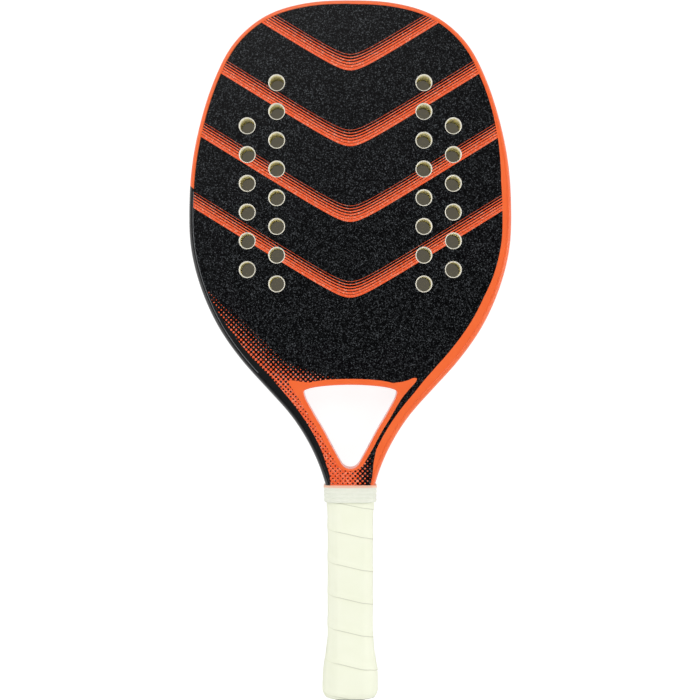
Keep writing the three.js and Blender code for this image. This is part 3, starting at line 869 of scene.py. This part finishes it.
def ring_points(height):
    """A rounded octagon round the handle, from the right side over the front, and its directions."""
    slant = math.tan(math.pi / 8)
    wide = float(np.interp(height, leg_heights, leg_places)) + bond_gap
    thick = shaft_thickness(height)
    corner = thick - half_blade + rim_width + rim_depth - math.hypot(rim_width, rim_depth) - bond_gap
    trim = corner_radius * slant
    quarter = [Vector((wide, 0))]
    for centre, first in (
        (Vector((wide - corner_radius, thick - corner - trim)), 0),
        (Vector((wide - corner - trim, thick - corner_radius)), 45),
    ):
        for i in range(corner_steps + 1):
            turn = math.radians(first + 45 * i / corner_steps)
            quarter.append(centre + corner_radius * Vector((math.cos(turn), math.sin(turn))))
    half = quarter + [Vector((-p.x, p.y)) for p in reversed(quarter)]
    ring = evenly(half + [Vector((p.x, -p.y)) for p in half[-2:0:-1]], handle_sides, closed=True)
    outward = []
    for i in range(handle_sides):
        run = ring[(i + 1) % handle_sides] - ring[i - 1]
        outward.append(Vector((run.y, -run.x)).normalized())
    return ring, outward


handle_rings = [ring_points(i * row_step) for i in range(int(measured_height / row_step) + 1)]


def on_handle(height, side, reach):
    """A point over one of the handle's sides, that far out from the shaft."""
    row = max(height, 0) / row_step
    low, share = int(row), row % 1
    side %= handle_sides
    ground = handle_rings[low][0][side].lerp(handle_rings[low + 1][0][side], share)
    over = ground + handle_rings[low][1][side] * reach
    return Vector((over.x, height - racket_length / 2, middle_plane + over.y))


def turned_shell(profile, closed):
    """A shell round the handle from a profile of heights and reaches; an open one gets end faces."""
    points = [on_handle(height, side, reach) for height, reach in profile for side in range(handle_sides)]
    count = len(profile)
    faces = []
    for i in range(count if closed else count - 1):
        here, there = i * handle_sides, (i + 1) % count * handle_sides
        for j in range(handle_sides):
            k = (j + 1) % handle_sides
            faces.append((here + j, here + k, there + k, there + j))
    if not closed:
        faces.append(tuple(range(handle_sides)))
        faces.append(tuple(range((count - 1) * handle_sides, count * handle_sides)))
    return points, faces


# Moulded rubber: matt, with a fine spark-eroded grain of about 0.5 mm
rubber, tree, shader, place = start_finish("moulded_rubber", {"Roughness": 0.7, "IOR": 1.5})
grain = add(tree, "TexNoise", {"Vector": place, "Scale": 1 / (0.5 * mm), "Detail": 2.0})
tint = add(tree, "Mix", {0: grain, 6: linear("#2A2926"), 7: linear("#3B3A36")}, data_type="RGBA")
tree.links.new(tint, shader.inputs["Base Color"])
bump = add(tree, "Bump", {"Strength": 0.3, "Distance": 0.08 * mm, "Height": grain})
tree.links.new(bump, shader.inputs["Normal"])

cap_heights = [
    tuck_height * (1 - math.sin(math.radians(90 - 90 * i / tuck_rows))) for i in range(tuck_rows)
]
cap_heights += list(np.linspace(tuck_height, cap_length, cap_rows))
inside_cup = [(cap_floor, bond_gap), (cap_length - cap_lip, bond_gap)]
outside_cup = [(height, cap_reach(height)) for height in reversed(cap_heights)]
points, faces = turned_shell([*inside_cup, *outside_cup], closed=False)
make_piece("rubber_cap", points, faces, [rubber], "butt_cap")

# Base grip. A strip of perforated polyurethane foam under the overgrip, glued round the cap
# and the pallets; here a plain cushion, since the overgrip hides it.
grip_thickness = 1.3
grip_bottom = 8
grip_rows = 60
wrap_stop = 8
wrap_top = handle_length - wrap_stop
# Cushion polyurethane: black and matt, with punched holes 3 mm apart
cushion, tree, shader, place = start_finish("cushion_polyurethane", {"Roughness": 0.75})
punched = add(tree, "TexVoronoi", {"Vector": place, "Scale": 1 / (3 * mm), "Randomness": 0.0})
dark = add(tree, "MapRange", {0: punched, 1: 0.2, 2: 0.3})
tint = add(tree, "Mix", {0: dark, 6: linear("#141414"), 7: linear("#3A3A3B")}, data_type="RGBA")
tree.links.new(tint, shader.inputs["Base Color"])
heights = np.linspace(grip_bottom, wrap_top, grip_rows)
under = [(height, wrapped_reach(height) + bond_gap) for height in heights]
over = [(height, wrapped_reach(height) + bond_gap + grip_thickness) for height in reversed(heights)]
points, faces = turned_shell(under + over, closed=True)
make_piece("cushion_grip", points, faces, [cushion], "base_grip")

# Overgrip. One ribbon of soft white polyurethane film, wound tight from the butt upward by
# hand; each turn laps 3 mm over the one below it, and its edge stays as a thin raised line.
ribbon_pitch = 23.3
ribbon_lap = 3.0
ribbon_width = ribbon_pitch + ribbon_lap
ribbon_thickness = 0.5
lapped_thickness = 0.36
lap_air = 0.02
# Where the lap's step ends, and where the next turn presses the ribbon thin
lap_step = (ribbon_lap + 0.2, ribbon_lap + 1.8)
pressed_step = (ribbon_pitch - 0.6, ribbon_pitch - 0.1)
skived_reaches = (0, 0.1, 0.3)
skived_shares = (0.45, 0.85, 1)
ground_air = 0.05
ribbon_ground = bond_gap + grip_thickness + ground_air
# Swells of the wound film: their heights, how closely they follow each other, how they lie round
# the handle and up it, and where they calm down below the tape
broad_swell = 0.1
small_swell = 0.04
broad_pace = 0.5
small_pace = 1.7
swells_round = 3.2
swell_length = 5
calm_height = 2
calm_run = 4
wrap_bottom = 1.9
least_width = 2.5
front_seam = 25
turns_to_seam = 2.25
last_turn = 6.25
last_turn_drop = 2.6
# Rows of points across the ribbon, close together at its edges and its steps; where the ribbon is
# trimmed narrower, the rows up to skived_rows keep their places
skived_rows = 0.7
ribbon_rows = (
    0, 0.1, 0.3, 0.7, 1.6, 2.6, 3.2, 3.6, 4.0, 4.4, 4.8, 6.5, 9, 11.5, 14, 16.5, 19, 21, 22.4, 22.8,
    23.1, 23.3, 24, 25.2, 26, 26.3,
)


def ribbon_layer(across):
    """Where the ribbon's under and upper side lie over its ground, that far from its lower edge."""
    raised = float(np.interp(across, (0, *lap_step), (1, 1, 0)))
    raised *= raised * (3 - 2 * raised)
    pressed = float(np.interp(across, pressed_step, (0, 1)))
    squeezed = max(raised, pressed)
    under = raised * (lapped_thickness + lap_air)
    edge = float(np.interp(across, skived_reaches, skived_shares))
    return under, under + edge * (ribbon_thickness + squeezed * (lapped_thickness - ribbon_thickness))


def ribbon_point(lower, across, upper_side, side):
    """A point of the ribbon, which swells a little off its ground, but not under the collar."""
    height = lower + across
    turn = 2 * math.pi * side / handle_sides
    where = Vector((swells_round * math.cos(turn), swells_round * math.sin(turn), height / swell_length))
    swell = broad_swell + broad_swell * noise.noise(where * broad_pace)
    swell += small_swell * noise.noise(where * small_pace)
    calm = min(max((wrap_top - calm_height - height) / calm_run, 0), 1)
    reach = ribbon_layer(across)[1 if upper_side else 0]
    return on_handle(height, side, wrapped_reach(height) + ribbon_ground + swell * calm + reach)


points, faces, picks = [], [], []
step = 0
while True:
    turn = step / handle_sides
    lower = front_seam + (turn - turns_to_seam) * ribbon_pitch
    lower -= last_turn_drop * max(turn - last_turn, 0)
    first = max(wrap_bottom - lower, 0)
    last = min(wrap_top - lower, ribbon_width)
    if last - first < least_width and points:
        break
    if last - first >= least_width:
        narrowed = (last - first - skived_rows) / (ribbon_width - skived_rows)
        reached = [
            first + min(row, skived_rows) + max(row - skived_rows, 0) * narrowed for row in ribbon_rows
        ]
        points += [ribbon_point(lower, across, True, step) for across in reached]
        points += [ribbon_point(lower, across, False, step) for across in reversed(reached)]
    step += 1
girth = 2 * len(ribbon_rows)
slices = len(points) // girth
edge_faces = (0, 1, 2, girth - 1)
for i in range(slices - 1):
    for j in range(girth):
        here, there = i * girth, (i + 1) * girth
        k = (j + 1) % girth
        faces.append((here + j, here + k, there + k, there + j))
        picks.append(1 if j in edge_faces else 0)
for end in (0, (slices - 1) * girth):
    faces.append(tuple(range(end, end + girth)))
    picks.append(0)


# Polyurethane film with a dry, slightly tacky skin: soft broad sheen, a faint leather grain of
# about 1.2 mm, and a little warm mottling from handling.
def wound_film(name, deep, pale):
    finish, tree, shader, place = start_finish(
        name, {"Roughness": 0.6, "IOR": 1.45, "Specular IOR Level": 0.3},
    )
    mottle = add(tree, "TexNoise", {"Vector": place, "Scale": 1 / (14 * mm), "Detail": 3.0})
    tint = add(tree, "Mix", {0: mottle, 6: linear(deep), 7: linear(pale)}, data_type="RGBA")
    tree.links.new(tint, shader.inputs["Base Color"])
    leather = add(tree, "TexNoise", {"Vector": place, "Scale": 1 / (1.2 * mm), "Detail": 3.0})
    bump = add(tree, "Bump", {"Strength": 0.15, "Distance": 0.1 * mm, "Height": leather})
    tree.links.new(bump, shader.inputs["Normal"])
    return finish


# The skived edge of each turn is see-through thin; its darker beige line up the grip is painted shade
# under the lap's step, with a little grime on the cut edge
film = wound_film("polyurethane_film", "#F1F4DC", "#F7F9E6")
shaded_seam_film = wound_film("film_edge_shade_and_grime", "#D5D6C1", "#E0E1CE")
tree = shaded_seam_film.node_tree
shader = tree.nodes["Principled BSDF"]
# The painted line fades out towards the grip's left side
unshaded_reach = -15.0 * mm
shaded_reach = -8.0 * mm
x = add(tree, "SeparateXYZ", {0: add(tree, "TexCoord", output="Object")}, "X")
seam_shade_share = add(tree, "MapRange", {0: x, 1: unshaded_reach, 2: shaded_reach})
shade_and_grime = shader.inputs["Base Color"].links[0].from_socket
# Painted seam shade and grime, faded out towards the left
tint = add(tree, "Mix", {0: seam_shade_share, 6: linear("#F1F4DC"), 7: shade_and_grime}, data_type="RGBA")
tree.links.new(tint, shader.inputs["Base Color"])
make_piece("wound_overgrip", points, faces, [film, shaded_seam_film], "overgrip", picks)

# Finishing tape and collar. A thin tape holds the ribbon's end down, and a stretched ribbed
# band of silicone rubber covers it; its thin upper edge lets the lacquer below shine through.
tape_thickness = 0.25
tape_on_grip = 1
tape_step = 1.5
tape_on_shaft = 5
ribbon_air = 0.25
on_wrap = bond_gap + grip_thickness + ribbon_air + ribbon_thickness + bond_gap
tape_profile = [
    (wrap_top - tape_on_grip, on_wrap), (wrap_top + bond_gap, on_wrap),
    (wrap_top + tape_step, bond_gap), (wrap_top + tape_on_shaft, bond_gap),
]
tape_outside = [(height, reach + tape_thickness) for height, reach in reversed(tape_profile)]
points, faces = turned_shell(tape_profile + tape_outside, closed=True)
# The tape's film is as smooth as the lacquer, and nearly white
tape_film = lacquer("tape_film", "#E9EADF", "#DFE0D4")
make_piece("end_tape", points, faces, [tape_film], "finishing_tape")

collar_rise = 1.7
collar_length = 12
collar_wall = 0.5
collar_edge_bottom = 0.1
collar_edge_top = 0.35
collar_shoulder = 0.4
rib_height = 0.5
rib_count = 4
rib_rows = 8
rib_bluntness = 0.4
collar_top = handle_length + collar_rise
clear = tape_thickness + bond_gap
collar_inside = [
    (collar_top - collar_length, on_wrap + clear), (wrap_top + bond_gap, on_wrap + clear),
    (wrap_top + tape_step, 2 * bond_gap + clear), (handle_length, bond_gap + clear),
    (collar_top, collar_edge_bottom),
]
collar_outside = [(collar_top, collar_edge_top)]
for i in range(rib_rows * rib_count + 1):
    share = i / (rib_rows * rib_count)
    rib = rib_height * (0.5 - 0.5 * math.cos(2 * math.pi * i / rib_rows)) ** rib_bluntness
    reach = clear + collar_wall + bond_gap + share * (on_wrap - bond_gap)
    height = collar_top - collar_shoulder - (collar_length - collar_shoulder) * share
    collar_outside.append((height, reach + rib))
points, faces = turned_shell(collar_inside + collar_outside, closed=True)
# Silicone rubber: milky, with a soft sheen, and orange where it is thin enough to see through
silicone, tree, shader, place = start_finish("silicone_rubber", {"Roughness": 0.4, "IOR": 1.41})
along_handle = add(tree, "SeparateXYZ", {0: place}, "Y")
thin_edge = (collar_top - racket_length / 2) * mm
milky_end = thin_edge - 1.9 * mm
sheer_start = thin_edge - 1.2 * mm
thin = add(tree, "MapRange", {0: along_handle, 1: milky_end, 2: sheer_start})
cloudy = add(tree, "TexNoise", {"Vector": place, "Scale": 1 / (3 * mm), "Detail": 2.0})
milky = add(tree, "Mix", {0: cloudy, 6: linear("#E3E6D7"), 7: linear("#EEF0E2")}, data_type="RGBA")
tint = add(tree, "Mix", {0: thin, 6: milky, 7: linear("#F5C6AC")}, data_type="RGBA")
tree.links.new(tint, shader.inputs["Base Color"])
bump = add(tree, "Bump", {"Strength": 0.2, "Distance": 0.1 * mm, "Height": cloudy})
tree.links.new(bump, shader.inputs["Normal"])
make_piece("ribbed_collar", points, faces, [silicone], "collar_band")
